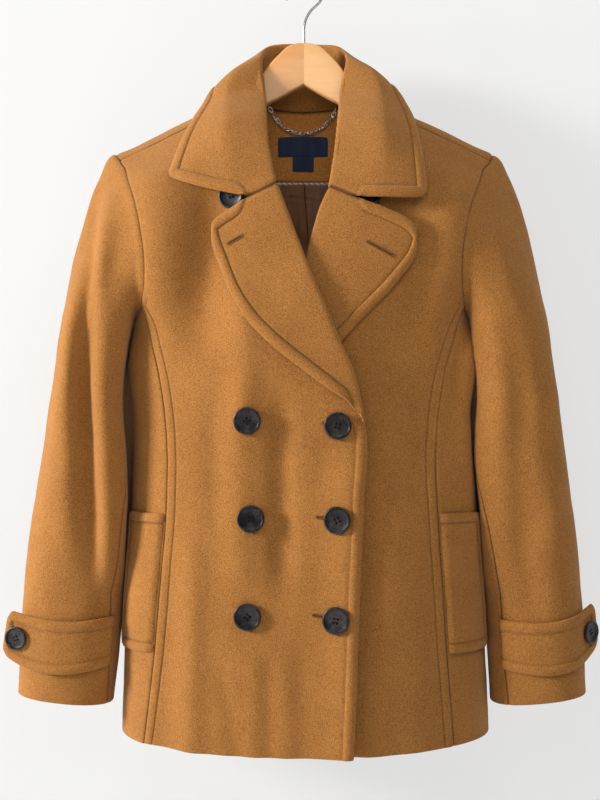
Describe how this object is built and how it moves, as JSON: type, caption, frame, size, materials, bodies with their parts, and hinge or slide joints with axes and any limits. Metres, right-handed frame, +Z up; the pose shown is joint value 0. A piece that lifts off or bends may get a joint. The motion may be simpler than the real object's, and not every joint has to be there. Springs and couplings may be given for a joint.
{
  "type": "pea coat on hanger",
  "caption": "Double-breasted hip-length wool coat with a large notched collar, cuff tabs and side pocket flaps, held open on a wooden hanger with a wire hook.",
  "frame": {"origin": "inner top of the hanger's hook, where the rail carries it", "axes": "+X to the wearer's left, +Y to the coat's back, +Z up"},
  "size_m": [0.6091, 0.1577, 0.7998],
  "materials": {
    "melton": "brushed camel wool melton",
    "lining": "brown satin",
    "piping": "twisted pale cord",
    "label": "woven navy, bare",
    "chain": "twisted chain",
    "button": "dark mottled, half gloss",
    "wood": "pale clear-lacquered beech",
    "hook_wire": "bright steel wire"
  },
  "bodies": {
    "root": {"front_right": "melton", "front_left": "melton", "side_right": "melton", "side_left": "melton", "back_right": "melton", "back_left": "melton", "upper_sleeve_right": "melton", "upper_sleeve_left": "melton", "under_sleeve_right": "melton", "under_sleeve_left": "melton", "collar": "melton", "lapel_right": "melton", "lapel_left": "melton", "pocket_right": "melton", "pocket_left": "melton", "cuff_tab_right": "melton", "cuff_tab_left": "melton", "neck_facing": "melton", "lining_back": "lining", "piping": "piping", "label": "label", "size_label": "label", "neck_chain": "chain", "button_right_1": "button", "button_right_2": "button", "button_right_3": "button", "button_right_4": "button", "button_left_1": "button", "button_left_2": "button", "button_left_3": "button", "button_left_4": "button", "cuff_button_right": "button", "cuff_button_left": "button", "hanger_wood": "wood", "hanger_hook": "hook_wire"}
  },
  "joints": []
}
